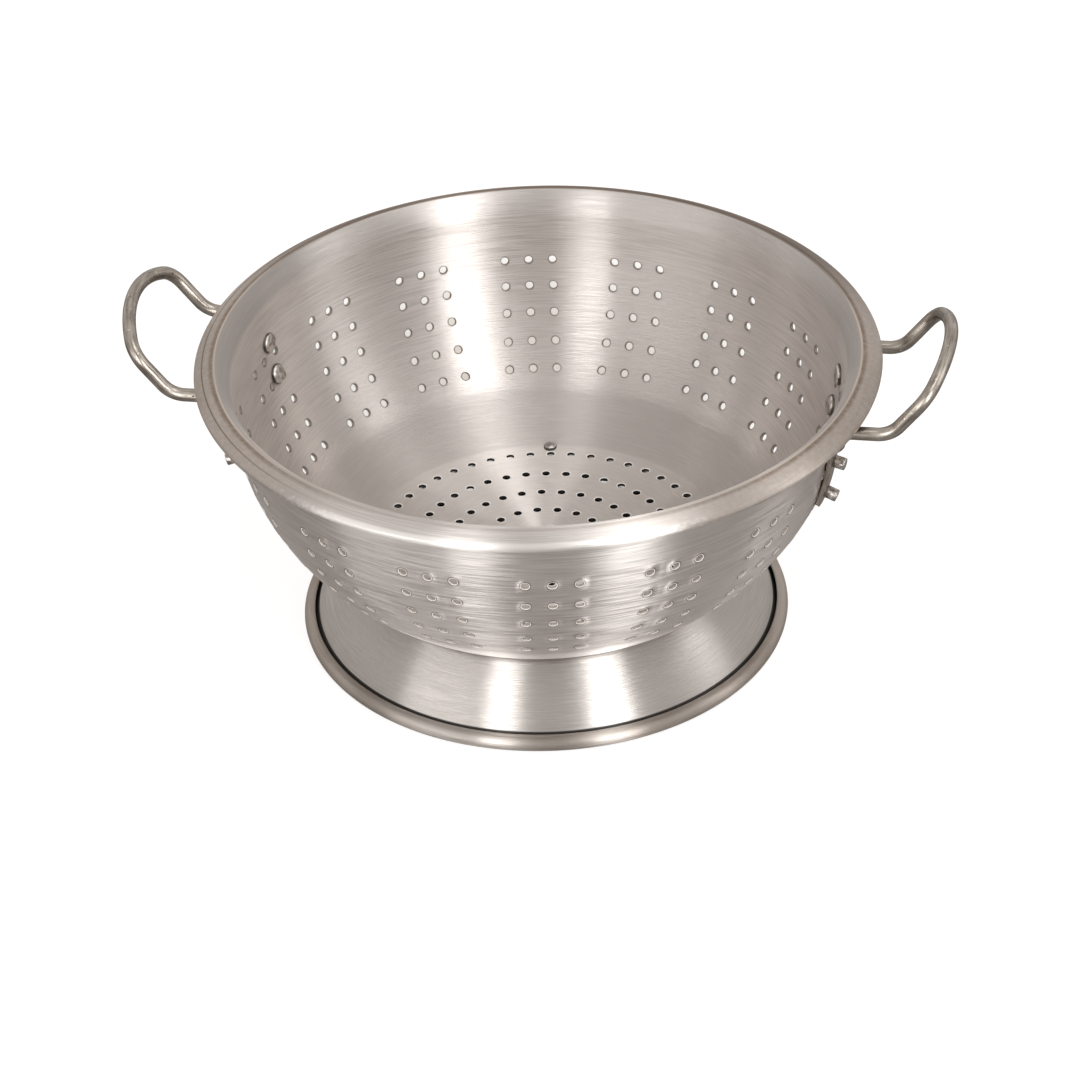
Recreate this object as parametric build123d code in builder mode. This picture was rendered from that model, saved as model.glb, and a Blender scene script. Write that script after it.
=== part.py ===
from build123d import *
from math import acos, asin, atan, cos, degrees, radians, sin, sqrt
import os

# Large spun aluminium kitchen colander: a perforated bowl, a flared foot ring riveted under it,
# and two bent tube handles whose flattened ends are riveted to the wall below the rim.
# Millimetres and degrees. Z is up and Z = 0 is the table. The bowl turns about the Z axis, and the
# handles lie on +X and -X.

# Bowl, spun from one disc
sheet = 2.0  # thickness of the bowl's metal
bowl_height = 189.2  # table to the crest of the mouth
rim_radius = 203.2  # 16 inches across the rim
mouth_radius = 190.4  # crest of the mouth, where the wall turns over into the rim
floor_height = 45.4  # table to the inside of the bowl's flat bottom
wall_radius = 184.0  # outside of the wall at its widest
widest_height = 170.0  # table to the level where the wall stands upright
wall_arc = 149.0  # radius of the wall's outside curve, seen in section
knuckle = 6.0  # outside radius of the bend from bottom to wall
wall_upright = 3.0  # straight part of the wall above its widest level
crest_bend = 2.5  # outside radius of the fold at the crest
rim_start = 8.0  # slope of the rim at the crest, in degrees
rim_end = 38.0  # slope of the rim where the bead begins
bead = 2.3  # outside radius of the rim's rolled edge
bead_end = 165.0  # slope at which the rolled edge is cut off
seam = 2.5  # degrees from +X to where the turned faces close on themselves, clear of every hole

# Drain holes
hole = 4.8  # diameter of every drain hole
wall_groups = 16  # patches of holes round the wall
group_first = 10.9  # degrees from +X to the middle of the first patch
group_columns = 3
column_pitch = 15.2  # between columns, the same in every row
row_heights = (143.3, 126.5, 110.0, 93.5, 78.7)  # table to each row, on the wall's outside
ring_radii = (103.0, 80.6, 59.8, 40.0, 20.0)  # rings of holes in the bottom
ring_counts = (50, 40, 30, 20, 10)
ring_first = (2.7, 7.8, 4.2, 14.8, 14.8)  # degrees from +X to each ring's first hole

# Foot ring, spun from thinner sheet
foot_sheet = 1.6
foot_radius = 149.4  # outside of the curled bottom edge
foot_curl = 4.7  # outside radius of the curl
foot_flat = 0.6  # width of the flat track that stands on the table
foot_lip = 2.0  # straight end of the curl, which points back at the skirt
foot_bend = 2.2  # outside radius of the bend between skirt and track
neck_bend = 3.4  # inside radius of the bend between flange and skirt
skirt_top = 48.0  # slope of the skirt under the neck
skirt_bottom = 66.0  # slope of the skirt at the track
flange_radius = 103.4  # inner edge of the flange under the bowl

# Handles, bent from round tube
tube = 8.0  # outside diameter
leg_spread = 96.0  # between the middles of a handle's two legs
leg_height = 171.3  # table to the middle of the level legs
leg_bend = 8.0  # centre-line radius where a leg turns out from the wall
lift_reach = 211.8  # bowl's axis to the corner where the loop turns up
lift_angle = 52.0  # slope of the loop
lift_bend = 16.0  # centre-line radius at that corner
loop_reach = 49.7  # that corner to the middle of the grip, along the loop
loop_corner = 17.0  # centre-line radius of the loop's corners
grip_arc = 75.0  # centre-line radius of the slightly bowed grip
tube_gap = 0.4  # between the round tube and the wall
pad_width = 12.0  # flattened end of the tube
pad_thick = 3.2
pad_above = 6.0  # pad above the upper rivet
pad_below = 10.0  # pad below the lower rivet
pad_chamfer = 2.5  # cut corners at the pad's lower end
pad_gap = 0.15  # play between pad and wall

# Handle rivets
rivet_height = 151.5  # table to the upper rivets
rivet_pitch = 22.0  # upper to lower rivet, along the wall
rivet_shank = 6.4
rivet_head = 13.0  # low head inside the bowl
rivet_head_tall = 2.2
rivet_head_round = 1.4
rivet_tail = 7.5  # plain swaged end outside
rivet_tail_tall = 6.8
rivet_tail_round = 0.4

# Foot rivets
foot_rivets = 4
foot_rivet_first = 6.6  # degrees from +X to the first one
foot_rivet_radius = 110.4  # bowl's axis to the rivets
foot_rivet_shank = 4.8
foot_rivet_head = 8.2  # button head inside the bowl
foot_rivet_head_tall = 2.8
foot_rivet_head_round = 1.6
foot_rivet_tail = 7.4
foot_rivet_tail_tall = 1.6
foot_rivet_tail_round = 0.8

rivet_play = 0.1  # round a shank in its hole
head_play = 0.15  # under a flat head on the curved wall
seat_play = 0.3  # round a foot rivet's head in its coined seat
overrun = 10.0  # how far a cutter passes the metal it cuts

# Where the bowl's curves meet, on its outside face
arc_centre = wall_radius - wall_arc
floor_underside = floor_height - sheet
wall_start = degrees(acos((widest_height - floor_underside - knuckle) / (wall_arc - knuckle)))
floor_radius = arc_centre + (wall_arc - knuckle) * sin(radians(wall_start))

# The flare is the arc between the upright wall and the fold at the crest
flare_out = mouth_radius - (wall_radius - sheet) - crest_bend
flare_up = bowl_height - (widest_height + wall_upright) - crest_bend
flare_turn = 2 * degrees(atan(flare_out / flare_up))
flare_arc = flare_up / sin(radians(flare_turn)) + crest_bend

# The rim is the arc between that fold and the bead
rim_out = rim_radius - bead * (1 - sin(radians(rim_end)))
rim_in = mouth_radius + crest_bend * sin(radians(rim_start))
rim_arc = (rim_out - rim_in) / (sin(radians(rim_end)) - sin(radians(rim_start)))

def bowl_face(depth):
    """Draws one face of the bowl's metal, depth under its inside face, and returns its two ends."""
    bottom = Line((0, floor_height - depth), (floor_radius, floor_height - depth))
    bend = JernArc(bottom @ 1, bottom % 1, knuckle - sheet + depth, wall_start)
    wall = JernArc(bend @ 1, bend % 1, wall_arc - sheet + depth, 90 - wall_start)
    upright = Line(wall @ 1, (wall @ 1) + Vector(0, wall_upright))
    flare = JernArc(upright @ 1, upright % 1, flare_arc - depth, -flare_turn)
    crest = JernArc(flare @ 1, flare % 1, crest_bend - depth, flare_turn - 90 - rim_start)
    rim = JernArc(crest @ 1, crest % 1, rim_arc - depth, rim_start - rim_end)
    edge = JernArc(rim @ 1, rim % 1, bead - depth, rim_end - bead_end)
    return bottom @ 0, edge @ 1


with BuildPart() as bowl:
    with BuildSketch(Plane.XZ.rotated((0, 0, seam))):
        with BuildLine():
            inside = bowl_face(0)
            outside = bowl_face(sheet)
            Line(inside[0], outside[0])
            Line(inside[1], outside[1])
        make_face()
    revolve(axis=Axis.Z)


def along_wall(length):
    """Degrees of slope passed by going this far down the outside of the wall."""
    return degrees(length / wall_arc)


def slope_at(height):
    """Degrees that the outside of the wall leans over from upright at this height."""
    return degrees(asin((widest_height - height) / wall_arc))


def wall_plane(azimuth, slope, off=0):
    """A plane that faces straight out of the wall, off from its outside, with its Y axis up the wall."""
    radius = arc_centre + (wall_arc + off) * cos(radians(slope))
    height = widest_height - (wall_arc + off) * sin(radians(slope))
    out = Vector(cos(radians(slope)), 0, -sin(radians(slope))).rotate(Axis.Z, azimuth)
    across = Vector(0, 1, 0).rotate(Axis.Z, azimuth)
    return Plane(origin=Vector(radius, 0, height).rotate(Axis.Z, azimuth), x_dir=across, z_dir=out)


# A leg stands off the wall by its own radius where it turns out, and its rivets are in line with it
leg_stand = wall_radius + tube_gap + tube / 2
leg_azimuth = degrees(asin(leg_spread / 2 / leg_stand))
rivet_slopes = (slope_at(rivet_height), slope_at(rivet_height) + along_wall(rivet_pitch))
leg_azimuths = {
    "right_rear": leg_azimuth,
    "right_front": -leg_azimuth,
    "left_rear": 180 - leg_azimuth,
    "left_front": 180 + leg_azimuth,
}
rivet_planes = {
    f"{leg}_{level}_rivet": wall_plane(azimuth, slope)
    for leg, azimuth in leg_azimuths.items()
    for level, slope in zip(("upper", "lower"), rivet_slopes)
}

with bowl:
    # Each patch has five rows of three holes, drilled square to the wall
    group_turns = [number * 360 / wall_groups for number in range(wall_groups)]
    for row_height in row_heights:
        lean = slope_at(row_height)
        column_turn = degrees(column_pitch / (arc_centre + wall_arc * cos(radians(lean)) - sheet))
        for column in range(group_columns):
            middle = group_first + (column - (group_columns - 1) / 2) * column_turn
            with Locations([wall_plane(middle + turn, lean, overrun) for turn in group_turns]):
                Hole(hole / 2, depth=sheet + 2 * overrun)
    with Locations((0, 0, floor_height + overrun)):
        Hole(hole / 2, depth=sheet + 2 * overrun)
        for radius, count, first in zip(ring_radii, ring_counts, ring_first):
            with PolarLocations(radius, count, first):
                Hole(hole / 2, depth=sheet + 2 * overrun)
        with PolarLocations(foot_rivet_radius, foot_rivets, foot_rivet_first):
            Hole(foot_rivet_shank / 2 + rivet_play, depth=sheet + 2 * overrun)
            # The bend is pressed flat under each head
            Hole(foot_rivet_head / 2 + seat_play, depth=overrun)
    with Locations([plane.offset(overrun) for plane in rivet_planes.values()]):
        Hole(rivet_shank / 2 + rivet_play, depth=sheet + 2 * overrun)

# The skirt's slightly domed side is the arc that brings it from the flange down to the table
flange_height = floor_underside - foot_sheet
skirt_arc = (
    flange_height - neck_bend * (1 - cos(radians(skirt_top))) - foot_bend * (1 - cos(radians(skirt_bottom)))
) / (cos(radians(skirt_top)) - cos(radians(skirt_bottom)))
flange_end = (
    foot_radius
    - foot_curl
    - foot_flat
    - foot_bend * sin(radians(skirt_bottom))
    - skirt_arc * (sin(radians(skirt_bottom)) - sin(radians(skirt_top)))
    - neck_bend * sin(radians(skirt_top))
)

def foot_face(depth):
    """Draws one face of the foot's metal, depth above its underside, and returns its two ends."""
    flange = Line((flange_radius, flange_height + depth), (flange_end, flange_height + depth))
    neck = JernArc(flange @ 1, flange % 1, neck_bend + depth, -skirt_top)
    skirt = JernArc(neck @ 1, neck % 1, skirt_arc + depth, skirt_top - skirt_bottom)
    heel = JernArc(skirt @ 1, skirt % 1, foot_bend - depth, skirt_bottom)
    track = Line(heel @ 1, (heel @ 1) + Vector(foot_flat, 0))
    curl = JernArc(track @ 1, track % 1, foot_curl - depth, 180)
    lip = Line(curl @ 1, (curl @ 1) - Vector(foot_lip, 0))
    return flange @ 0, lip @ 1


with BuildPart() as foot_ring:
    with BuildSketch(Plane.XZ):
        with BuildLine():
            under = foot_face(0)
            over = foot_face(foot_sheet)
            Line(under[0], over[0])
            Line(under[1], over[1])
        make_face()
    revolve(axis=Axis.Z)
    with Locations((0, 0, floor_height)):
        with PolarLocations(foot_rivet_radius, foot_rivets, foot_rivet_first):
            Hole(foot_rivet_shank / 2 + rivet_play, depth=sheet + foot_sheet + overrun)

# The loop of a handle lies in a plane that rises from the ends of the level legs
half_spread = leg_spread / 2
loop_plane = Plane(
    origin=(lift_reach, 0, leg_height),
    x_dir=(cos(radians(lift_angle)), 0, sin(radians(lift_angle))),
    z_dir=(-sin(radians(lift_angle)), 0, cos(radians(lift_angle))),
)
grip_centre = loop_reach - grip_arc
corner_side = half_spread - loop_corner
corner_start = grip_centre + sqrt((grip_arc - loop_corner) ** 2 - corner_side**2)
grip_half = asin(corner_side / (grip_arc - loop_corner))
grip_start = (corner_start + loop_corner * cos(grip_half), corner_side + loop_corner * sin(grip_half))

outward = Vector(1, 0, 0).rotate(Axis.Z, leg_azimuth)
leg_foot = outward * leg_stand + Vector(0, 0, leg_height - leg_bend)
pad_top = rivet_slopes[0] - along_wall(pad_above)
pad_end = rivet_slopes[1] + along_wall(pad_below)
pad_middle = wall_arc + pad_gap + pad_thick / 2
pad_length = pad_above + rivet_pitch + pad_below

with BuildPart() as right_handle:
    # The flattened end follows the wall, with its lower corners cut off
    top_face = wall_plane(leg_azimuth, pad_top, pad_gap + pad_thick / 2)
    top_section = Plane(origin=top_face.origin, x_dir=top_face.x_dir, z_dir=-top_face.y_dir)
    with BuildSketch(top_section):
        SlotOverall(pad_width, pad_thick)
    with BuildLine(Plane(origin=(0, 0, 0), x_dir=outward, z_dir=outward.cross(Vector(0, 0, 1)))):
        CenterArc((arc_centre, widest_height), pad_middle, -pad_top, pad_top - pad_end)
    sweep()
    with BuildSketch(wall_plane(leg_azimuth, (pad_top + pad_end) / 2)):
        blank = Rectangle(pad_width, pad_length + pad_chamfer)
        chamfer(blank.vertices().group_by(Axis.Z)[0], length=pad_chamfer)
    extrude(amount=overrun, both=True, mode=Mode.INTERSECT)

    # Above the pad the tube opens out to its round section, turns out under the rim and forms the loop
    round_section = Plane(origin=leg_foot, x_dir=top_face.x_dir, z_dir=(0, 0, 1))
    with BuildSketch(top_section) as flat_end:
        SlotOverall(pad_width, pad_thick)
    with BuildSketch(round_section) as round_end:
        Circle(tube / 2)
    loft()
    with BuildSketch(round_section):
        Circle(tube / 2)
    with BuildLine():
        turn_out = TangentArc(leg_foot, leg_foot + Vector(leg_bend, 0, leg_bend), tangent=(0, 0, 1))
        leg = FilletPolyline(
            turn_out @ 1,
            (lift_reach, half_spread, leg_height),
            loop_plane.from_local_coords((corner_start, half_spread)),
            radius=lift_bend,
        )
        corner = TangentArc(leg @ 1, loop_plane.from_local_coords(grip_start), tangent=leg % 1)
        TangentArc(corner @ 1, loop_plane.from_local_coords((loop_reach, 0)), tangent=corner % 1)
    sweep()
    with Locations([rivet_planes[f"right_rear_{level}_rivet"].offset(overrun) for level in ("upper", "lower")]):
        Hole(rivet_shank / 2 + rivet_play, depth=2 * overrun)
    mirror(about=Plane.XZ)

with BuildPart() as left_handle:
    add(right_handle.part, rotation=(0, 0, 180))

# A handle rivet stands on the outside of the wall, its head inside the bowl and its tail on the pad
with BuildPart() as handle_rivet:
    with BuildSketch(Plane.XZ):
        with BuildLine():
            under_head = -sheet - head_play
            pad_face = pad_gap + pad_thick
            Polyline(
                (0, under_head - rivet_head_tall),
                (rivet_head / 2, under_head - rivet_head_tall),
                (rivet_head / 2, under_head),
                (rivet_shank / 2, under_head),
                (rivet_shank / 2, pad_face),
                (rivet_tail / 2, pad_face),
                (rivet_tail / 2, pad_face + rivet_tail_tall),
                (0, pad_face + rivet_tail_tall),
                close=True,
            )
        make_face()
    revolve(axis=Axis.Z)
    rims = handle_rivet.edges().filter_by(GeomType.CIRCLE).sort_by(Axis.Z)
    fillet(rims[0], radius=rivet_head_round)
    fillet(rims[-1], radius=rivet_tail_round)

# A foot rivet stands on the inside of the bottom, its tail set under the flange
with BuildPart() as foot_rivet:
    with BuildSketch(Plane.XZ):
        with BuildLine():
            under_flange = -sheet - foot_sheet
            Polyline(
                (0, foot_rivet_head_tall),
                (foot_rivet_head / 2, foot_rivet_head_tall),
                (foot_rivet_head / 2, 0),
                (foot_rivet_shank / 2, 0),
                (foot_rivet_shank / 2, under_flange),
                (foot_rivet_tail / 2, under_flange),
                (foot_rivet_tail / 2, under_flange - foot_rivet_tail_tall),
                (0, under_flange - foot_rivet_tail_tall),
                close=True,
            )
        make_face()
    revolve(axis=Axis.Z)
    rims = foot_rivet.edges().filter_by(GeomType.CIRCLE).sort_by(Axis.Z)
    fillet(rims[-1], radius=foot_rivet_head_round)
    fillet(rims[0], radius=foot_rivet_tail_round)

pieces = {"bowl": bowl, "foot_ring": foot_ring, "right_handle": right_handle, "left_handle": left_handle}
for name, plane in rivet_planes.items():
    with BuildPart() as placed:
        with Locations(plane):
            add(handle_rivet.part)
    pieces[name] = placed

for number in range(foot_rivets):
    turn = foot_rivet_first + number * 360 / foot_rivets
    with BuildPart() as placed:
        with Locations((0, 0, floor_height)):
            with PolarLocations(foot_rivet_radius, 1, turn):
                add(foot_rivet.part)
    pieces[f"foot_rivet_{number + 1}"] = placed

os.makedirs("parts", exist_ok=True)
for name, piece in pieces.items():
    piece.part.label = name
    export_step(piece.part, f"parts/{name}.step")
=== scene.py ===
import math

import bmesh
import bpy
import numpy as np
from mathutils import Matrix
from mathutils.geometry import delaunay_2d_cdt


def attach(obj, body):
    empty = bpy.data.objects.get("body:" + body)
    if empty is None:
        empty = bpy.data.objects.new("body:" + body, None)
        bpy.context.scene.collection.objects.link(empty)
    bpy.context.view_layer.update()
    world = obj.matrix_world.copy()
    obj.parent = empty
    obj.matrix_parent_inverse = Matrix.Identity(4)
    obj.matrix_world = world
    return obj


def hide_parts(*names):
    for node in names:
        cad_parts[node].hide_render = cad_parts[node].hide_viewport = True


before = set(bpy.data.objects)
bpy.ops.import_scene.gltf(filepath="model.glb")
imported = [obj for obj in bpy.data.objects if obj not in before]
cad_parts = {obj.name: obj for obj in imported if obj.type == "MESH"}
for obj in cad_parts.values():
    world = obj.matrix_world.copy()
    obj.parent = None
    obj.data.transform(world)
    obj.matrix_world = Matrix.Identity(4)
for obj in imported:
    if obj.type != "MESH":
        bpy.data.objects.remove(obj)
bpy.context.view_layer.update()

# The bowl is one aluminium disc, spun over a form to a flat bottom, a round wall and a flared rim
# with a rolled edge. Patches of drain holes are punched through the wall, and rings of holes
# through the bottom. Turning marks run round the metal, and every hole has a worn edge; light and
# shade are painted on the hole edges, in the holes and on the rim, flare and low wall.
SHEET = 0.0020
FLOOR_HEIGHT, FLOOR_RADIUS = 0.0454, 0.11183
ARC_CENTRE, WALL_ARC, WALL_START = 0.0350, 0.1490, 32.50
WIDEST_HEIGHT = 0.1700
KNUCKLE = ((0.0040, WALL_START, 5),)
RIM = (
    (0.0030, 0.0, 1),  # upright, above the widest level
    (0.02134, -46.60, 7),  # flare
    (0.0025, -51.40, 6),  # fold at the crest
    (0.02427, -30.0, 6),  # rim
    (0.0023, -127.0, 10),  # rolled edge
)
HOLE, LAND = 0.0024, 0.0031
HOLE_SHARE = 0.965  # a triangle nearer to a hole's middle than this share of a land lies in the hole
GROUPS, GROUP_FIRST, COLUMN_PITCH = 16, 10.9, 0.0152
COLUMNS = np.array((-1, 0, 1))
PITCH_RADII = 0.150, 0.182  # between these radii a patch keeps its width in metres
ROW_HEIGHTS = np.array((0.0787, 0.0935, 0.1100, 0.1265, 0.1433))
RING_RADII = np.array((0.1030, 0.0806, 0.0598, 0.0400, 0.0200, 0.0))
RING_COUNTS = np.array((50, 40, 30, 20, 10, 1))
RING_FIRST = np.radians((2.7, 7.8, 4.2, 14.8, 14.8, 0.0))
LAND_STEPS = np.array((-2, -1, -0.5, 0, 0.5, 1, 2))
STEPS, MIDDLE = 7, 3  # how many steps, and which one passes through the hole's middle
LAND_EDGE = ((1, 1), (1, 2), (1, 3), (1, 4), (1, 5), (2, 5), (3, 5), (4, 5),
             (5, 5), (5, 4), (5, 3), (5, 2), (5, 1), (4, 1), (3, 1), (2, 1))


def spun_line(start, heading, runs):
    """One face of spun sheet, seen in section: straight runs and arcs, each tangent to the last.

    A run is (length, 0, steps) or (radius, turn, steps). A point of an arc lies at the arc's centre
    plus its radius times the side vector, turned evenly. Returns the points and their headings."""
    points, headings = [np.array([start])], [np.array([heading])]
    for size, turn, steps in runs:
        share = np.arange(1, steps + 1) / steps
        here, angle = points[-1][-1], headings[-1][-1]
        turned = angle + math.radians(turn) * share
        side = math.copysign(size, turn)
        if turn == 0:
            run = np.outer(share * size, (math.cos(angle), math.sin(angle)))
        else:
            run = side * np.stack([np.sin(turned) - math.sin(angle), math.cos(angle) - np.cos(turned)], 1)
        points.append(here + run)
        headings.append(turned)
    return np.concatenate(points), np.concatenate(headings)


def beside(points, headings, distance):
    """The same line, moved to its right-hand side by a distance along the normal at each point."""
    return points + distance * np.stack([np.sin(headings), -np.cos(headings)], 1)


def turned_about(section, azimuths):
    """Carries section points round Z: x and y are the radius times cosine and sine of the azimuth."""
    radius, height = section[:, :1], section[:, 1:]
    return np.stack([radius * np.cos(azimuths), radius * np.sin(azimuths), height + 0 * azimuths], -1)


def ring_faces(first, second):
    """Four-sided faces between closed loops of point numbers and the loops that follow them."""
    return np.stack([first, np.roll(first, -1, -1), np.roll(second, -1, -1), second], -1).reshape(-1, 4)


def add_piece(name, points, face_sets, finish, nodes, own=None):
    """Makes one closed piece from its points and faces and lets it stand for its CAD nodes.

    own, if given, is kept with each point as three numbers that the finish reads."""
    used = np.unique(np.concatenate([faces.ravel() for faces in face_sets]))
    faces = [row for faces in face_sets for row in np.searchsorted(used, faces).tolist()]
    mesh = bpy.data.meshes.new(name)
    mesh.from_pydata(points[used].tolist(), [], faces)
    shape = bmesh.new()
    shape.from_mesh(mesh)
    bmesh.ops.recalc_face_normals(shape, faces=shape.faces)
    shape.to_mesh(mesh)
    shape.free()
    mesh.shade_smooth()
    if own is not None:
        kept = mesh.attributes.new("own", "FLOAT_VECTOR", "POINT")
        kept.data.foreach_set("vector", own[used].astype(np.float32).ravel())
    mesh.materials.append(finish)
    made = bpy.data.objects.new(name, mesh)
    bpy.context.scene.collection.objects.link(made)
    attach(made, "root")
    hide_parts(*nodes)


def wall_section():
    """The bowl's inside and outside in section, from the edge of the flat bottom to the rolled rim.

    The wall is an arc; its points crowd round each row of holes, at a half, one and two lands above
    and below the middle of the row. Also returns the place of each row's middle along the section."""
    bend, bend_headings = spun_line((FLOOR_RADIUS, FLOOR_HEIGHT), 0.0, KNUCKLE)
    leans = np.arcsin((WIDEST_HEIGHT - ROW_HEIGHTS) / WALL_ARC)
    rows = (leans[:, None] - LAND_STEPS * LAND / (WALL_ARC - SHEET / 2)).ravel()
    lower = np.linspace(math.radians(90 - WALL_START), rows[0], 7)[1:-1]
    lean = np.concatenate([lower, rows, np.linspace(rows[-1], 0, 5)[1:]])
    arc = WALL_ARC - SHEET
    wall = np.stack([ARC_CENTRE + arc * np.cos(lean), WIDEST_HEIGHT - arc * np.sin(lean)], 1)
    rim, rim_headings = spun_line(wall[-1], math.pi / 2, RIM)
    inside = np.concatenate([bend, wall, rim[1:]])
    headings = np.concatenate([bend_headings, math.pi / 2 - lean, rim_headings[1:]])
    row_middles = len(bend) + len(lower) + MIDDLE + STEPS * np.arange(len(leans))
    return inside, beside(inside, headings, SHEET), row_middles


def wall_azimuths(section):
    """Azimuths of the bowl's upright grid lines at each point of its section.

    Within a patch a line keeps its distance in metres from the patch's middle, so the columns are
    equally far apart in every row; the gap to the next patch is divided evenly. Also returns the
    line numbers of the columns' middles."""
    across = (COLUMN_PITCH * COLUMNS[:, None] + LAND_STEPS * LAND).ravel()
    patch = across / np.clip(section[:, :1], *PITCH_RADII)
    pitch = 2 * math.pi / GROUPS
    gap = patch[:, -1:] + (pitch + patch[:, :1] - patch[:, -1:]) * np.array((0.25, 0.5, 0.75))
    patch = np.concatenate([patch, gap], 1)
    middles = math.radians(GROUP_FIRST) + pitch * np.arange(GROUPS)
    azimuths = (middles[:, None] + patch[:, None, :]).reshape(len(section), -1)
    first_lines = patch.shape[1] * np.arange(GROUPS)[:, None]
    return azimuths, (first_lines + MIDDLE + STEPS * np.arange(len(COLUMNS))).ravel()


def round_the_holes(grid, rows, columns):
    """Pulls the square of cells at each hole to a circle.

    A point lies on a square ring m lands from the hole's middle. Up to m = 1 it moves to the circle
    of that radius, and at m = 2 it stays on its square. Returns the holes' middles, their loops of
    edge points, and the cells that the holes take out."""
    across, up = np.meshgrid(LAND_STEPS, LAND_STEPS)
    ring, spread = np.maximum(abs(across), abs(up)), np.hypot(across, up)
    circle = np.divide(ring, spread, out=np.ones_like(ring), where=spread > 0)
    pull = circle + (1 - circle) * np.clip(ring - 1, 0, 1)
    row, column = (a.reshape(-1, 1, 1) for a in np.meshgrid(rows, columns, indexing="ij"))
    around = np.arange(STEPS) - MIDDLE
    row, column = row + around[:, None], column + around
    middles = grid[row[:, MIDDLE], column[:, :, MIDDLE]]
    pull = pull[..., None]
    grid[row, column] = middles[:, None] * (1 - pull) + grid[row, column] * pull
    numbers = row * grid.shape[1] + column
    return middles[:, 0], np.stack([numbers[:, u, a] for u, a in LAND_EDGE], -1), numbers[:, 1:5, 1:5]


def sleeves(start, loops, middles, outside_loops, outside_middles, points):
    """The worn edges and the wall of each hole, between its loop of points inside and its loop outside.

    A ring is (radius in hole radii, which face, metres from that face), and metres count towards the
    bowl's outside. Its points keep the direction that they have from the middle of the hole."""
    rings = ((1.14, 0, 0.0), (1.0, 0, 0.0003), (1.0, 1, -0.0002), (1.10, 1, 0.00015), (1.20, 1, 0.00012))
    out = outside_middles - middles
    out = out / np.linalg.norm(out, axis=1, keepdims=True)
    spokes = (points[loops] - middles[:, None]) * HOLE / LAND
    made, faces, last, own = [], [], loops, []
    for radius, face, proud in rings:
        middle = (middles, outside_middles)[face] + proud * out
        made.append((middle[:, None] + spokes * radius).reshape(-1, 3))
        own.append(np.tile((radius, face, 0), (loops.size, 1)))
        numbers = start + np.arange(loops.size).reshape(loops.shape)
        start += loops.size
        faces.append(ring_faces(last, numbers))
        last = numbers
    faces.append(ring_faces(last, outside_loops))
    return np.concatenate(made), np.concatenate(faces), np.concatenate(own)


def drilled_plate(edge, loops, points, middles):
    """Triangles that fill the flat bottom between its edge circle and the loops round its holes."""
    order = np.concatenate([edge, loops.ravel()])
    first = len(edge) + np.arange(loops.size).reshape(loops.shape)
    ends = np.stack([first, np.roll(first, -1, -1)], -1).reshape(-1, 2)
    flat = (points[order, :2] * 1000).tolist()
    _, _, faces, origins, _, _ = delaunay_2d_cdt(flat, ends.tolist(), [], 0, 1e-6)
    faces = order[np.array([o[0] for o in origins])[np.array(faces)]]
    away = points[faces, :2].mean(1)[:, None] - middles[:, :2]
    return faces[(np.hypot(away[..., 0], away[..., 1]) > HOLE_SHARE * LAND).all(1)]


def bowl_mesh():
    """The bowl as one closed mesh: wall and rim as a grid on each face, the bottom as drilled plates.

    Every point keeps its distance from the middle of its hole, in hole radii, or 2 away from a hole,
    and then 0 on the bowl's inside and 1 on its outside."""
    inside, outside, rows = wall_section()
    azimuths, columns = wall_azimuths(inside)
    grids = [turned_about(face, azimuths) for face in (inside, outside)]
    cut = [round_the_holes(grid, rows, columns) for grid in grids]
    size, cells = azimuths.size, np.arange(azimuths.size).reshape(azimuths.shape)
    first = np.repeat(RING_FIRST, RING_COUNTS)
    place = np.concatenate([np.arange(count) / count for count in RING_COUNTS])
    turn, radius = first + 2 * math.pi * place, np.repeat(RING_RADII, RING_COUNTS)
    middles = np.stack([radius * np.cos(turn), radius * np.sin(turn), 0 * turn + FLOOR_HEIGHT], 1)
    round_hole = 2 * math.pi * np.arange(len(LAND_EDGE)) / len(LAND_EDGE)
    land = LAND * np.stack([np.cos(round_hole), np.sin(round_hole), 0 * round_hole], 1)
    lands = (middles[:, None] + land).reshape(-1, 3)
    down = np.array((0, 0, -SHEET))
    points = np.concatenate([g.reshape(-1, 3) for g in grids] + [lands, lands + down])
    loops = 2 * size + np.arange(len(lands)).reshape(-1, len(LAND_EDGE))
    keep = ~np.isin(cells[:-1], cut[0][2])
    sides = ring_faces(cells[:-1], cells[1:])[keep.ravel()]
    faces = [sides, sides + size, ring_faces(cells[-1], cells[-1] + size)]
    faces.append(drilled_plate(cells[0], loops, points, middles))
    faces.append(drilled_plate(cells[0] + size, loops + len(lands), points, middles + down))
    wall_sleeves = sleeves(len(points), cut[0][1], cut[0][0], cut[1][1] + size, cut[1][0], points)
    points = np.concatenate([points, wall_sleeves[0]])
    floor_sleeves = sleeves(len(points), loops, middles, loops + len(lands), middles + down, points)
    own = np.tile((2.0, 0, 0), (len(points), 1))
    edges = np.concatenate([cut[0][1], cut[1][1] + size, loops, loops + len(lands)])
    own[edges.ravel(), 0] = LAND / HOLE
    own[size:2 * size, 1] = 1
    own[2 * size + len(lands):, 1] = 1
    own[-len(wall_sleeves[2]):] = wall_sleeves[2]
    own = np.concatenate([own, floor_sleeves[2]])
    return np.concatenate([points, floor_sleeves[0]]), faces + [wall_sleeves[1], floor_sleeves[1]], own


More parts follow.
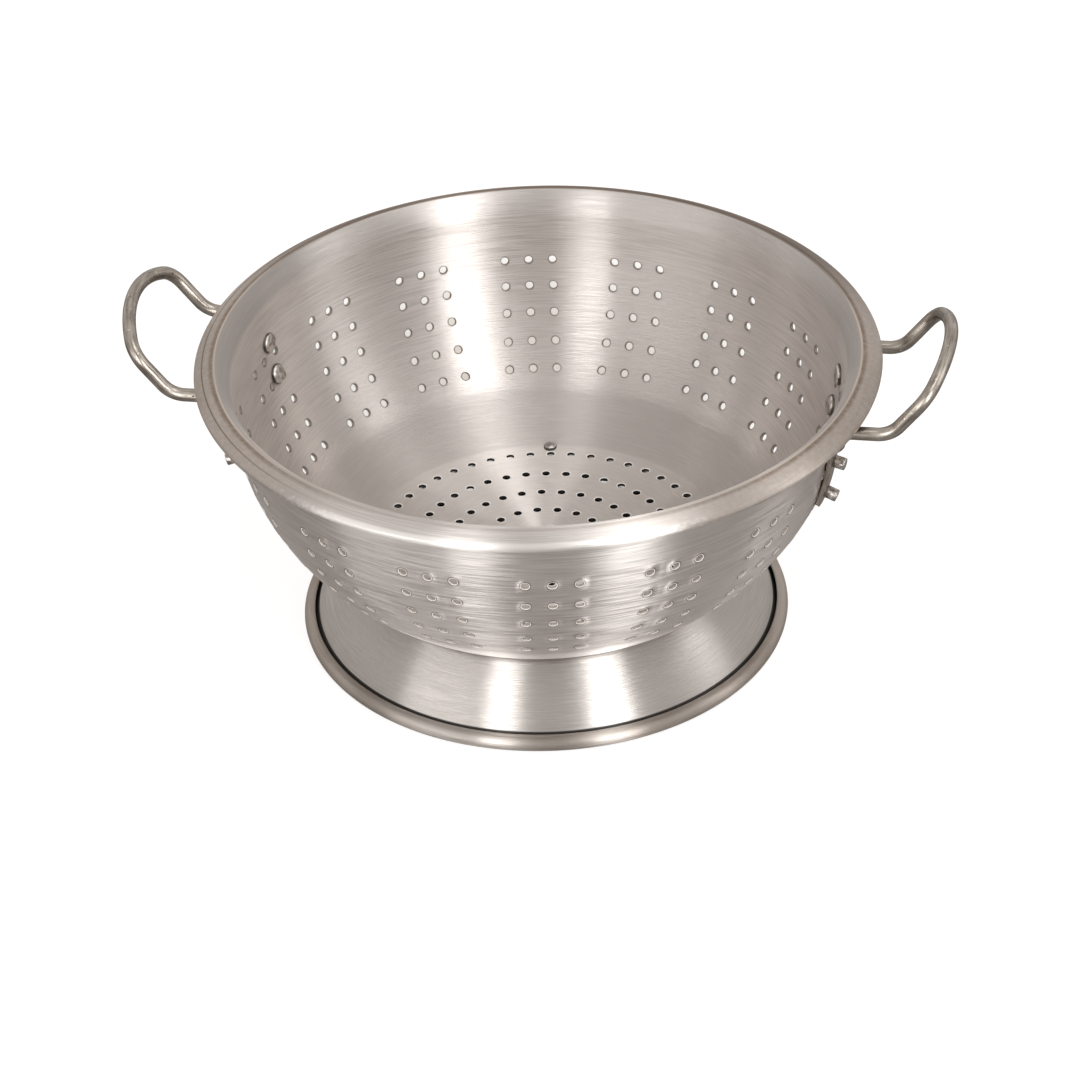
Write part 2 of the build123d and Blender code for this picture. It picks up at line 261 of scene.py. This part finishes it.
class Wire:
    """One socket of a material. Python's operators on it add the Math nodes that they stand for."""

    def __init__(self, tree, socket=None):
        self.tree, self.socket = tree, socket

    def make(self, kind, inputs, output=0, **settings):
        """Adds a node, sets it up, feeds its sockets with numbers or wires, and returns one output."""
        node = self.tree.nodes.new(kind)
        for name, value in settings.items():
            setattr(node, name, value)
        for name, value in inputs.items():
            if isinstance(value, Wire):
                self.tree.links.new(value.socket, node.inputs[name])
            else:
                node.inputs[name].default_value = value
        return Wire(self.tree, node.outputs[output])

    def math(self, operation, first, second=0.0):
        return self.make("ShaderNodeMath", {0: first, 1: second}, operation=operation)

    def __add__(self, other):
        return self.math("ADD", self, other)

    def __sub__(self, other):
        return self.math("SUBTRACT", self, other)

    def __rsub__(self, other):
        return self.math("SUBTRACT", other, self)

    def __mul__(self, other):
        return self.math("MULTIPLY", self, other)

    def __truediv__(self, other):
        return self.math("DIVIDE", self, other)

    def __rtruediv__(self, other):
        return self.math("DIVIDE", other, self)

    def __abs__(self):
        return self.math("ABSOLUTE", self)

    __radd__, __rmul__ = __add__, __mul__

    def between(self, low, high):
        """0 below low, 1 above high, and a smooth step between; the other way round if low is more."""
        ends = {"Value": self, "From Min": low, "From Max": high}
        return self.make("ShaderNodeMapRange", ends, interpolation_type="SMOOTHSTEP")

    def mixed(self, first, second):
        """The first colour where this is 0 and the second where it is 1."""
        return self.make("ShaderNodeMix", {0: self, 6: first, 7: second}, 2, data_type="RGBA")


def new_finish(name):
    """A material with a Principled shader, as (material, its shader node, a wire to build on)."""
    finish = bpy.data.materials.new(name)
    finish.use_nodes = True
    tree = finish.node_tree
    return finish, tree.nodes["Principled BSDF"], Wire(tree)


def spun_finish(name, colour, dark, wear_and_light):
    """Spun aluminium: fine turning marks that run round Z, then ageing and painted light and shade.

    The marks are noise in radius, height, and the cosine and sine of the azimuth: fine across and
    long round the axis, with no seam. The ageing function is given the same wires for every spun
    piece, and returns a colour, a roughness, and how far painted light and shade take away the look
    of metal."""
    finish, shader, wire = new_finish(name)
    place = wire.make("ShaderNodeTexCoord", {}, 3)
    x, y, z = (wire.make("ShaderNodeSeparateXYZ", {0: place}, k) for k in range(3))
    radius = wire.math("SQRT", x * x + y * y)
    east, north = x / radius, y / radius

    def rings(across, along):
        """Noise with so many features in a metre across the marks, and in a radian along them."""
        spot = wire.make("ShaderNodeCombineXYZ", {0: radius * across, 1: z * across, 2: east * along})
        noise = {"Vector": spot, "W": north * along, "Scale": 1.0, "Detail": 0.0}
        return wire.make("ShaderNodeTexNoise", noise, noise_dimensions="4D")

    fine, coarse = rings(4200.0, 8.0), rings(2100.0, 7.0)
    cloud = wire.make("ShaderNodeTexNoise", {"Vector": place, "Scale": 16.0, "Detail": 4.0})
    marks = fine * 0.4 + coarse.between(0.3, 0.7) * 0.6
    base = ((marks - 0.5) * 0.9 + (cloud - 0.5) * 0.6 + 0.5).mixed((*dark, 1), (*colour, 1))
    rough = (marks - 0.5) * 0.2 + (cloud - 0.5) * 0.12 + 0.39
    base, rough, painted_light = wear_and_light(wire, base, rough, radius, z, east, north, cloud)
    wire.tree.links.new(base.socket, shader.inputs["Base Color"])
    wire.tree.links.new(rough.socket, shader.inputs["Roughness"])
    bump = {"Height": marks, "Strength": 0.35, "Distance": 0.0002}
    wire.tree.links.new(wire.make("ShaderNodeBump", bump).socket, shader.inputs["Normal"])
    # Metal is taken away where light or shade is painted.
    wire.tree.links.new((1 - painted_light).socket, shader.inputs["Metallic"])
    shader.inputs["Anisotropic"].default_value = 1.0
    shader.inputs["Anisotropic Rotation"].default_value = 0.25
    return finish


# Near black, for painted shade in holes and gaps.
PAINTED_SHADE = (0.02, 0.016, 0.013, 1)


def bowl_wear_and_light(wire, base, rough, radius, z, east, north, cloud):
    """Ages the bowl and paints light and shade on it, at the holes, on the rim and on the wall.

    The holes' edges are worn, with a painted highlight on the outside and in the bottom, and
    painted shade on the inside of the wall. The holes' walls have painted shade, near black in the
    bottom, and a dark ring lies round each wall hole. The rim is brown at both sides and on its far
    side, painted shade with some mottled stain, most in a band just outside the crest, lighter
    along the crest, and with a thin dark line on the left. Near the middle of its front the rolled
    edge has a painted highlight. The flare has painted shade at its sides, and the low wall and the
    bottom are lighter, as painted light."""
    own = wire.make("ShaderNodeAttribute", {}, 1, attribute_name="own")
    hole, face = (wire.make("ShaderNodeSeparateXYZ", {0: own}, k) for k in range(2))
    floor = z.between(0.0500, 0.0460)
    edge = wire.math("MAXIMUM", hole.between(1.24, 1.17), floor * hole.between(1.29, 1.28))
    inside = hole.between(1.07, 1.01)
    ring = hole.between(1.42, 1.32) * hole.between(1.15, 1.21) * (1 - floor)
    rim = radius.between(0.1898, 0.1904) * z.between(0.1775, 0.1785)
    side, far = abs(east), north.between(0.2, 0.7)
    place = wire.make("ShaderNodeTexCoord", {}, 3)
    spots = wire.make("ShaderNodeTexNoise", {"Vector": place, "Scale": 320.0, "Detail": 4.0})
    stain_and_side_shade = wire.math("MAXIMUM", side.between(0.2, 0.95), far) * (spots.between(0.35, 0.6) * 0.3 + 0.7)
    crest = radius.between(0.1919, 0.1913)
    band = radius.between(0.1913, 0.1920) * radius.between(0.1952, 0.1928)
    left_dark_line = radius.between(0.1976, 0.1980) * radius.between(0.1988, 0.1984) * east.between(-0.4, -0.9)
    # Brown on the rim's sides and far side: painted shade with some mottled stain, lighter on the crest.
    base = (rim * stain_and_side_shade * 0.7).mixed(base, (0.46, 0.39, 0.33, 1))
    base = (rim * crest * stain_and_side_shade * 0.8).mixed(base, (0.72, 0.64, 0.57, 1))
    base = (rim * band * (stain_and_side_shade * 0.6 + 0.15)).mixed(base, (0.25, 0.18, 0.13, 1))
    # A thin dark brown line on the rim's left.
    base = (rim * left_dark_line * 0.75).mixed(base, (0.20, 0.15, 0.11, 1))
    # The far side of the rim: dark brown painted shade.
    base = (rim * far * 0.7).mixed(base, (0.14, 0.105, 0.085, 1))
    # A painted highlight on the rolled edge near the middle of its front.
    base = (radius.between(0.2000, 0.2015) * stain_and_side_shade.between(0.5, 0.1)).mixed(base, (0.92, 0.89, 0.86, 1))
    low, flare = z.between(0.0740, 0.0640), z.between(0.1740, 0.1800) * radius.between(0.1906, 0.1900)
    # Painted shade on the inside of the flare at both sides.
    base = (flare * side.between(0.7, 0.97) * 0.4).mixed(base, (0.30, 0.28, 0.265, 1))
    # Painted light: the bottom and the low wall are lighter.
    base = (low * 0.5).mixed(base, (0.88, 0.84, 0.80, 1))
    base = (ring * (face * 0.55 + 0.2)).mixed(base, (0.16, 0.13, 0.11, 1))
    # The holes' worn edges, with a painted highlight on the outside and in the bottom and painted shade on
    # the wall's inside face.
    bright = wire.math("MAXIMUM", face, floor).between(0.3, 0.7)
    base = edge.mixed(base, bright.mixed((0.28, 0.24, 0.21, 1), (0.93, 0.91, 0.88, 1)))
    # Painted shade on the walls of the holes, near black in the bottom.
    base = inside.mixed(base, floor.mixed((0.42, 0.38, 0.34, 1), PAINTED_SHADE))
    rough = rough + low * 0.18 + flare * 0.06 + edge * 0.2 + inside * 0.4
    # Metal is taken away where light or shade is painted: the bottom's hole walls and the bright hole
    # edges.
    return base, rough, inside * floor + edge * bright * 0.7


bowl_points, bowl_faces, hole_distance = bowl_mesh()
bowl_metal = spun_finish("bowl_metal", (0.80, 0.76, 0.73), (0.56, 0.525, 0.50), bowl_wear_and_light)
add_piece("spun_bowl", bowl_points, bowl_faces, bowl_metal, ["bowl"], hole_distance)


# The foot ring is a second spinning of thinner sheet: a flat flange riveted under the bowl's bottom,
# a flared skirt, and a bottom edge that is turned out and curled over. It stands on a narrow track.
FOOT_SHEET = 0.0016
FLANGE_RADIUS, FLANGE_HEIGHT = 0.1034, 0.0418
CURL_CENTRE, CURL = 0.1447, 0.0047  # the curl's middle from the axis, and its radius
FOOT_RUNS = (
    (0.0106, 0.0, 2),  # flange
    (0.0034, -48.0, 6),  # neck
    (0.15004, -18.0, 16),  # skirt
    (0.0022, 66.0, 8),  # heel
    (0.0006, 0.0, 1),  # track
    (CURL, 180.0, 22),  # curl
    (0.0020, 0.0, 2),  # lip
)
FOOT_LINES = 320

under, under_headings = spun_line((FLANGE_RADIUS, FLANGE_HEIGHT), 0.0, FOOT_RUNS)
over = beside(under, under_headings, -FOOT_SHEET)
foot_section = np.concatenate([under, over[::-1]])
foot_azimuths = np.linspace(0, 2 * math.pi, FOOT_LINES, endpoint=False)[None]
foot_points = turned_about(foot_section, foot_azimuths)
foot_cells = np.arange(foot_points.size // 3).reshape(foot_points.shape[:2])


def foot_shade_and_tinge(wire, base, rough, radius, z, east, north, cloud):
    """Ages the foot ring and paints shade on it: near black painted shade inside the curl and in the
    gap that it leaves, and a faint brown tinge on the curl and the skirt beside it, darker at the
    sides as painted shade.
    """
    across, up = radius - CURL_CENTRE, z - CURL
    # Painted shade, near black, inside the curl and in the gap under its lip.
    curl_shade = wire.math("SQRT", across * across + up * up).between(0.0041, 0.0036)
    gap = radius.between(0.1428, 0.1424) * z.between(0.0097, 0.0091)
    # Brown on the curl and the foot of the skirt, mottled: a tinge, with painted shade at the sides.
    tinge_and_shade = cloud.between(0.4, 0.6) * 0.3 + abs(east).between(0.3, 0.9) * 0.3 + 0.3
    base = (radius.between(0.1395, 0.1425) * tinge_and_shade).mixed(base, (0.43, 0.37, 0.32, 1))
    painted_light = wire.math("MAXIMUM", curl_shade, gap)
    return painted_light.mixed(base, PAINTED_SHADE), rough, painted_light


foot_metal = spun_finish("foot_metal", (0.76, 0.73, 0.70), (0.52, 0.49, 0.46), foot_shade_and_tinge)
foot_faces = ring_faces(foot_cells, np.roll(foot_cells, -1, 0))
add_piece("foot_ring_spun", foot_points.reshape(-1, 3), [foot_faces], foot_metal, ["foot_ring"])


# Four solid rivets hold the foot: their button heads stand in the bowl, pressed into the bend of
# its bottom, and their tails are set flat under the flange.
FOOT_RIVETS, FOOT_RIVET_FIRST, FOOT_RIVET_RADIUS = 4, 6.6, 0.1104
FOOT_RIVET_LINE = (
    (0, -5.2), (2.9, -5.2), (3.5, -4.9), (3.7, -4.4), (3.7, -3.6),  # tail
    (2.4, -3.6), (2.4, 0.0),  # shank
    (4.1, 0.0), (4.1, 1.0), (3.95, 1.6), (3.6, 2.1), (3.0, 2.5), (2.2, 2.72), (1.1, 2.8), (0, 2.8),  # head
)
RIVET_SIDES = 28


def rivet_shape(line, place):
    """A rivet: its section line (radius, height in millimetres) turned about its axis.

    It is closed at both ends with fans of triangles. Its third result is the place of each point
    from the rivet's own axis, in head radii."""
    line = np.array(line) / 1000
    azimuths = np.linspace(0, 2 * math.pi, RIVET_SIDES, endpoint=False)[None]
    around = turned_about(line[1:-1], azimuths)
    ends = np.array([(0, 0, line[0, 1]), (0, 0, line[-1, 1])])
    points = np.concatenate([around.reshape(-1, 3), ends])
    cells = np.arange(around.size // 3).reshape(around.shape[:2])
    ends = ((cells[0], len(points) - 2), (cells[-1], len(points) - 1))
    caps = [np.stack([row, np.roll(row, -1), np.full_like(row, end)], 1) for row, end in ends]
    turn, shift = np.array(place)[:3, :3], np.array(place)[:3, 3]
    return points @ turn.T + shift, [ring_faces(cells[:-1], cells[1:])] + caps, points / line[:, 0].max()


def rivet_finish(name, colour, dark):
    """Hammered aluminium: cloudy dull metal with small dents, and painted shade round the edge
    of the head.
    """
    finish, shader, wire = new_finish(name)
    place = wire.make("ShaderNodeTexCoord", {}, 3)
    cloud = wire.make("ShaderNodeTexNoise", {"Vector": place, "Scale": 380.0, "Detail": 3.0})
    dents = wire.make("ShaderNodeTexVoronoi", {"Vector": place, "Scale": 420.0})
    base = cloud.between(0.36, 0.62).mixed((*dark, 1), (*colour, 1))
    own = wire.make("ShaderNodeAttribute", {}, 1, attribute_name="own")
    x, y = (wire.make("ShaderNodeSeparateXYZ", {0: own}, k) for k in range(2))
    # Painted shade: a dark ring round the edge of the head.
    edge = (x * x + y * y).between(0.84, 0.91)
    base = (edge * 0.85).mixed(base, (0.07, 0.055, 0.045, 1))
    wire.tree.links.new(base.socket, shader.inputs["Base Color"])
    wire.tree.links.new((cloud * 0.25 + 0.22).socket, shader.inputs["Roughness"])
    bump = {"Height": cloud + dents * 0.5, "Strength": 0.6, "Distance": 0.0005}
    wire.tree.links.new(wire.make("ShaderNodeBump", bump).socket, shader.inputs["Normal"])
    shader.inputs["Metallic"].default_value = 1.0
    return finish


rivet_metal = rivet_finish("rivet_metal", (0.72, 0.69, 0.66), (0.36, 0.33, 0.31))
for number in range(FOOT_RIVETS):
    turn = math.radians(FOOT_RIVET_FIRST + number * 360 / FOOT_RIVETS)
    spot = Matrix.Rotation(turn, 4, "Z") @ Matrix.Translation((FOOT_RIVET_RADIUS, 0, FLOOR_HEIGHT))
    points, faces, own = rivet_shape(FOOT_RIVET_LINE, spot)
    node = f"foot_rivet_{number + 1}"
    add_piece(f"foot_rivet_set_{number + 1}", points, faces, rivet_metal, [node], own)


# Each handle is one length of round aluminium tube. Its two ends are pressed flat, cut off at the
# corners and bent to the wall; above them the tube turns out under the rim and rises to a loop.
TUBE = 0.0040
PAD = (0.0060, 0.0016)  # half its width and half its thickness
PAD_ROUND = 0.5  # 1 would make its section an ellipse, and less makes it fuller
PAD_LINE = 0.15075
PAD_CORNER, PAD_CREASE = 0.0025, 0.09  # cut corner, and the crease's depth in half widths
LEG_AZIMUTH, LEG_STAND, LEG_SIDE = 14.76, 0.1884, 0.0480
PAD_TOP, PAD_END = 4.82, 19.44
LEG_HEIGHT, LEG_BEND = 0.1713, 0.0080
LIFT_REACH, LIFT_ANGLE, LIFT_BEND = 0.2118, 52.0, 0.0160
LOOP_REACH, LOOP_CORNER, GRIP_ARC = 0.0497, 0.0170, 0.0750
TUBE_SIDES = 28


def handle_line():
    """Half of a handle's middle line, from the cut end of its rear pad to the middle of the grip.

    The pad is an arc over the wall; then come a bend out, a level leg, a bend up, and in the plane
    of the loop a straight, a corner and the bowed grip, each tangent to the last. Returns the
    points, the side of the tube that faces out of the wall or under the loop, and how flat it is."""
    outward = np.array([math.cos(math.radians(LEG_AZIMUTH)), math.sin(math.radians(LEG_AZIMUTH)), 0])
    up = np.array([0, 0, 1.0])
    lean = np.radians(PAD_END + (PAD_TOP - PAD_END) * np.linspace(0, 1, 26))[:, None]
    pad = (ARC_CENTRE + PAD_LINE * np.cos(lean)) * outward + (WIDEST_HEIGHT - PAD_LINE * np.sin(lean)) * up
    foot = LEG_STAND * outward + (LEG_HEIGHT - LEG_BEND) * up
    share = np.linspace(0, 1, 9)[1:, None]
    ease = share * share * (3 - 2 * share)
    rise = pad[-1] * (1 - share) + foot * share + (ease - share) * (foot - pad[-1]) * np.array((1, 1, 0))
    turn = np.radians(np.linspace(0, 90, 12))[1:, None]
    bend = foot + LEG_BEND * np.concatenate([1 - np.cos(turn), 0 * turn, np.sin(turn)], 1)
    angle = math.radians(LIFT_ANGLE)
    before = LIFT_BEND * math.tan(angle / 2)
    level_end = np.array([LIFT_REACH - before, LEG_SIDE, LEG_HEIGHT])
    level = bend[-1] + np.linspace(0, 1, 6)[1:, None] * (level_end - bend[-1])
    lift = np.linspace(0, angle, 10)[1:, None]
    rising = level[-1] + LIFT_BEND * np.concatenate([np.sin(lift), 0 * lift, 1 - np.cos(lift)], 1)
    side = LEG_SIDE - LOOP_CORNER
    grip_centre = LOOP_REACH - GRIP_ARC
    corner = grip_centre + math.sqrt((GRIP_ARC - LOOP_CORNER) ** 2 - side**2)
    half = math.asin(side / (GRIP_ARC - LOOP_CORNER))
    straight = np.linspace(before, corner, 8)[1:]
    bent = np.linspace(math.pi / 2, half, 12)[1:]
    grip = np.linspace(half, 0, 16)[1:]
    reach = (straight, corner + LOOP_CORNER * np.cos(bent), grip_centre + GRIP_ARC * np.cos(grip))
    aside = (0 * straight + LEG_SIDE, side + LOOP_CORNER * np.sin(bent), GRIP_ARC * np.sin(grip))
    reach, aside = np.concatenate(reach), np.concatenate(aside)
    loop = np.stack([LIFT_REACH + reach * math.cos(angle), aside, LEG_HEIGHT + reach * math.sin(angle)], 1)
    line = np.concatenate([pad, rise, bend, level, rising, loop])
    wall_side = np.cos(lean) * outward - np.sin(lean) * up
    bend_side = np.concatenate([np.cos(turn), 0 * turn, -np.sin(turn)], 1)
    bend_side = bend_side + (outward - np.array((1, 0, 0))) * np.cos(turn) ** 2
    lift_side = np.concatenate([np.sin(lift), 0 * lift, -np.cos(lift)], 1)
    rise_side = np.repeat(outward[None], len(share), 0) * share + wall_side[-1] * (1 - share)
    level_side = np.repeat(np.array([[0, 0, -1.0]]), len(level), 0)
    loop_side = np.repeat(lift_side[-1:], len(loop), 0)
    sides = np.concatenate([wall_side, rise_side, bend_side, level_side, lift_side, loop_side])
    flat = np.concatenate([np.ones(len(pad)), 1 - ease[:, 0], np.zeros(len(line) - len(pad) - len(share))])
    return line, sides, flat


def handle_mesh(half_turn):
    """A handle: a section carried along its line, a circle on the tube and a flat oval on the pads.

    A point of the section lies across and out from the line. The pressed ends have a crease along
    both edges, where the two walls of the tube meet, and their lower corners are cut off."""
    line, sides, flat = handle_line()
    other = np.array((1, -1, 1))
    line = np.concatenate([line, line[-2::-1] * other])
    sides = np.concatenate([sides, sides[-2::-1] * other])
    flat = np.concatenate([flat, flat[-2::-1]])[:, None]
    along = np.gradient(line, axis=0)
    along /= np.linalg.norm(along, axis=1, keepdims=True)
    across = np.cross(along, sides)
    across /= np.linalg.norm(across, axis=1, keepdims=True)
    out = np.cross(across, along)
    travel = np.concatenate([[0], np.cumsum(np.linalg.norm(np.diff(line, axis=0), axis=1))])
    from_end = np.minimum(travel, travel[-1] - travel)[:, None]
    place = np.linspace(0, 2 * math.pi, TUBE_SIDES, endpoint=False)
    c, s = np.cos(place), np.sin(place)
    oval = [PAD[k] * np.sign(a) * abs(a) ** PAD_ROUND for k, a in enumerate((c, s))]
    crease = 1 - PAD_CREASE * (abs(s) < 0.01)
    cut = np.clip(PAD_CORNER - from_end, 0, None)
    wide = TUBE * c * (1 - flat) + np.clip(oval[0] * crease, cut - PAD[0], PAD[0] - cut) * flat
    tall = TUBE * s * (1 - flat) + oval[1] * flat
    points = line[:, None] + wide[..., None] * across[:, None] + tall[..., None] * out[:, None]
    cells = np.arange(points.size // 3).reshape(points.shape[:2])
    ends = np.stack([points[0].mean(0), points[-1].mean(0)])
    caps = [np.stack([row, np.roll(row, -1), np.full_like(row, points.size // 3 + k)], 1)
            for k, row in enumerate((cells[0], cells[-1]))]
    turns = np.stack([travel[:, None] + 0 * wide, TUBE * c + 0 * wide, TUBE * s + 0 * wide], -1)
    turns = turns.reshape(-1, 3)
    turns = np.concatenate([turns, turns[[0, -1]]])
    points = np.concatenate([points.reshape(-1, 3), ends])
    if half_turn:
        points = points * np.array((-1, -1, 1))
    return points, [ring_faces(cells[:-1], cells[1:])] + caps, turns


def tube_finish(name, colour, dark, light):
    """Drawn aluminium tube, dull and handled: streaks along it, cloudy tarnish, worn places and nicks."""
    finish, shader, wire = new_finish(name)
    bar = wire.make("ShaderNodeAttribute", {}, 1, attribute_name="own")
    place = wire.make("ShaderNodeTexCoord", {}, 3)
    stretched = wire.make("ShaderNodeVectorMath", {0: bar, 1: (60.0, 900.0, 900.0)}, operation="MULTIPLY")
    streaks = wire.make("ShaderNodeTexNoise", {"Vector": stretched, "Scale": 1.0, "Detail": 3.0})
    cloud = wire.make("ShaderNodeTexNoise", {"Vector": place, "Scale": 90.0, "Detail": 4.0})
    nicks = wire.make("ShaderNodeTexNoise", {"Vector": place, "Scale": 420.0, "Detail": 1.0})
    worn = (streaks * 0.6 + cloud * 0.4).between(0.35, 0.65)
    base = worn.mixed((*dark, 1), (*colour, 1))
    base = nicks.between(0.70, 0.76).mixed(base, (*light, 1))
    base = nicks.between(0.27, 0.22).mixed(base, (0.05, 0.04, 0.035, 1))
    wire.tree.links.new(base.socket, shader.inputs["Base Color"])
    wire.tree.links.new((cloud * 0.25 + streaks * 0.12 + 0.12).socket, shader.inputs["Roughness"])
    bump = {"Height": streaks * 0.4 + cloud, "Strength": 0.3, "Distance": 0.0004}
    wire.tree.links.new(wire.make("ShaderNodeBump", bump).socket, shader.inputs["Normal"])
    shader.inputs["Metallic"].default_value = 1.0
    return finish


tube_metal = tube_finish("tube_metal", (0.50, 0.46, 0.41), (0.25, 0.22, 0.19), (0.64, 0.60, 0.56))
for side_name, half_turn in (("right", False), ("left", True)):
    points, faces, turns = handle_mesh(half_turn)
    node = f"{side_name}_handle"
    add_piece(f"{side_name}_handle_tube", points, faces, tube_metal, [node], turns)


# Eight solid rivets hold the handles, two through each flattened end. The low heads lie inside the
# bowl and the plain round tails stand out of the pads.
RIVET_LEANS = (7.13, 15.59)
RIVET_LINE = (
    (0, -4.35), (4.2, -4.33), (5.2, -4.2), (5.7, -3.95), (6.1, -3.55), (6.4, -3.05), (6.5, -2.6),
    (6.5, -2.15),  # underside of the head
    (3.2, -2.15), (3.2, 3.35),  # shank
    (3.75, 3.35), (3.75, 9.75), (3.6, 10.05), (3.3, 10.15), (1.6, 10.15), (0, 10.15),  # tail
)


def wall_spot(azimuth, lean):
    """The place on the wall's outside at this azimuth and lean, with Z straight out of the wall."""
    radius, height = ARC_CENTRE + WALL_ARC * math.cos(lean), WIDEST_HEIGHT - WALL_ARC * math.sin(lean)
    spot = Matrix.Translation((radius, 0, height))
    return Matrix.Rotation(azimuth, 4, "Z") @ spot @ Matrix.Rotation(math.pi / 2 + lean, 4, "Y")


for leg, azimuth in (("right_rear", LEG_AZIMUTH), ("right_front", -LEG_AZIMUTH),
                     ("left_rear", 180 - LEG_AZIMUTH), ("left_front", 180 + LEG_AZIMUTH)):
    for level, lean in zip(("upper", "lower"), RIVET_LEANS):
        points, faces, own = rivet_shape(RIVET_LINE, wall_spot(math.radians(azimuth), math.radians(lean)))
        node = f"{leg}_{level}_rivet"
        add_piece(f"{leg}_{level}_rivet_set", points, faces, rivet_metal, [node], own)


# The floor and the light of a photographer's white table: a pale sheet, large soft lamps on both
# sides of the camera with a dark gap between them, and a dim room that the metal mirrors.
TABLE_SIDE, TABLE_HEIGHT = 4, -0.0003  # half the table's side, and its height, just under the foot
FROM_SHADE = (0.047, -0.276, 0.0)  # from the middle of the bowl's shade on the table to the axis
CAMERA_TURN = 9.7  # degrees that the camera stands to the right of straight in front


def stage_plane():
    """A large pale table that takes the soft shadow round the foot and looks white to the camera.

    The white glow leaves out the circle that the foot ring shuts in, so it stays dark in there, and
    is less behind the bowl, where its shade falls."""
    mesh = bpy.data.meshes.new("table")
    signs = ((-1, -1), (1, -1), (1, 1), (-1, 1))
    corners = [(x * TABLE_SIDE, y * TABLE_SIDE, TABLE_HEIGHT) for x, y in signs]
    mesh.from_pydata(corners, [], [(0, 1, 2, 3)])
    table = bpy.data.objects.new("table", mesh)
    bpy.context.scene.collection.objects.link(table)
    paper, shader, wire = new_finish("table_paper")
    place = wire.make("ShaderNodeTexCoord", {}, 3)
    away = wire.make("ShaderNodeVectorMath", {0: place}, 1, operation="LENGTH")
    behind = wire.make("ShaderNodeVectorMath", {0: place, 1: FROM_SHADE}, operation="ADD")
    behind = wire.make("ShaderNodeVectorMath", {0: behind}, 1, operation="LENGTH")
    lit = behind.between(0.04, 0.24).mixed((0.55, 0.51, 0.46, 1), (1, 1, 1, 1))
    glow = wire.make("ShaderNodeLightPath", {}) * away.between(0.138, 0.142)
    wire.tree.links.new(glow.mixed((0, 0, 0, 1), lit).socket, shader.inputs["Emission Color"])
    shader.inputs["Emission Strength"].default_value = 0.8
    shader.inputs["Base Color"].default_value = (0.30, 0.29, 0.28, 1)
    shader.inputs["Roughness"].default_value = 0.9
    shader.inputs["Specular IOR Level"].default_value = 0.1
    mesh.materials.append(paper)


def soft_lamp(name, azimuth, elevation, distance, width, height, brightness):
    """A rectangular soft lamp that faces the bowl, its width and height in degrees as the bowl sees it.

    Azimuth 0 is the camera's side of the bowl, and more is to the camera's right. Its power in watts
    is pi times its area times its brightness."""
    lamp = bpy.data.lights.new(name, "AREA")
    lamp.shape = "RECTANGLE"
    lamp.size, lamp.size_y = (2 * distance * math.tan(math.radians(side / 2)) for side in (width, height))
    lamp.energy = math.pi * lamp.size * lamp.size_y * brightness
    holder = bpy.data.objects.new(name, lamp)
    turn = Matrix.Rotation(math.radians(CAMERA_TURN + azimuth), 4, "Z")
    tilt = Matrix.Rotation(math.radians(90 - elevation), 4, "X")
    bowl_middle, away = Matrix.Translation((0, 0, 0.12)), Matrix.Translation((0, 0, distance))
    holder.matrix_world = bowl_middle @ turn @ tilt @ away
    bpy.context.scene.collection.objects.link(holder)


stage_plane()
# Name, azimuth, elevation, distance in metres, width, height, brightness
soft_lamp("right_softbox", 28.5, 20, 2.4, 17, 36, 6.8)
soft_lamp("left_softbox", -23, 20, 1.2, 13, 36, 5.6)
soft_lamp("left_wide", -53, 12, 2.4, 36, 24, 2.0)
soft_lamp("right_wide", 87, 30, 2.4, 16, 40, 1.6)
soft_lamp("top_light", 50, 70, 2.4, 30, 20, 2.5)

world = bpy.data.worlds.new("room")
bpy.context.scene.world = world
world.use_nodes = True
room = world.node_tree
shade = Wire(room).make("ShaderNodeLightPath", {}).mixed((0.78, 0.745, 0.72, 1), (1, 1, 1, 1))
room.links.new(shade.socket, room.nodes["Background"].inputs["Color"])

# The camera stands where the photograph was taken from: high in front and a little to the right.
# Its place, turn and lens were fitted to holes, rim and foot as they lie in the photograph.
CAMERA_PLACE = (0.3055, -1.7871, 1.2954)
CAMERA_TILT, CAMERA_ROLL = 34.613, -1.973
CAMERA_LENS, CAMERA_SHIFT = 119.79, (-0.00406, 0.00692)

lens = bpy.data.cameras.new("camera")
lens.sensor_width, lens.lens = 36.0, CAMERA_LENS
lens.shift_x, lens.shift_y = CAMERA_SHIFT
lens.clip_start, lens.clip_end = 0.1, 30.0
camera = bpy.data.objects.new("camera", lens)
turn = Matrix.Rotation(math.radians(CAMERA_TURN), 4, "Z")
tilt = Matrix.Rotation(math.radians(90 - CAMERA_TILT), 4, "X")
roll = Matrix.Rotation(math.radians(CAMERA_ROLL), 4, "Z")
camera.matrix_world = Matrix.Translation(CAMERA_PLACE) @ turn @ tilt @ roll
bpy.context.scene.collection.objects.link(camera)
bpy.context.scene.camera = camera
bpy.context.scene.view_settings.view_transform = "Standard"
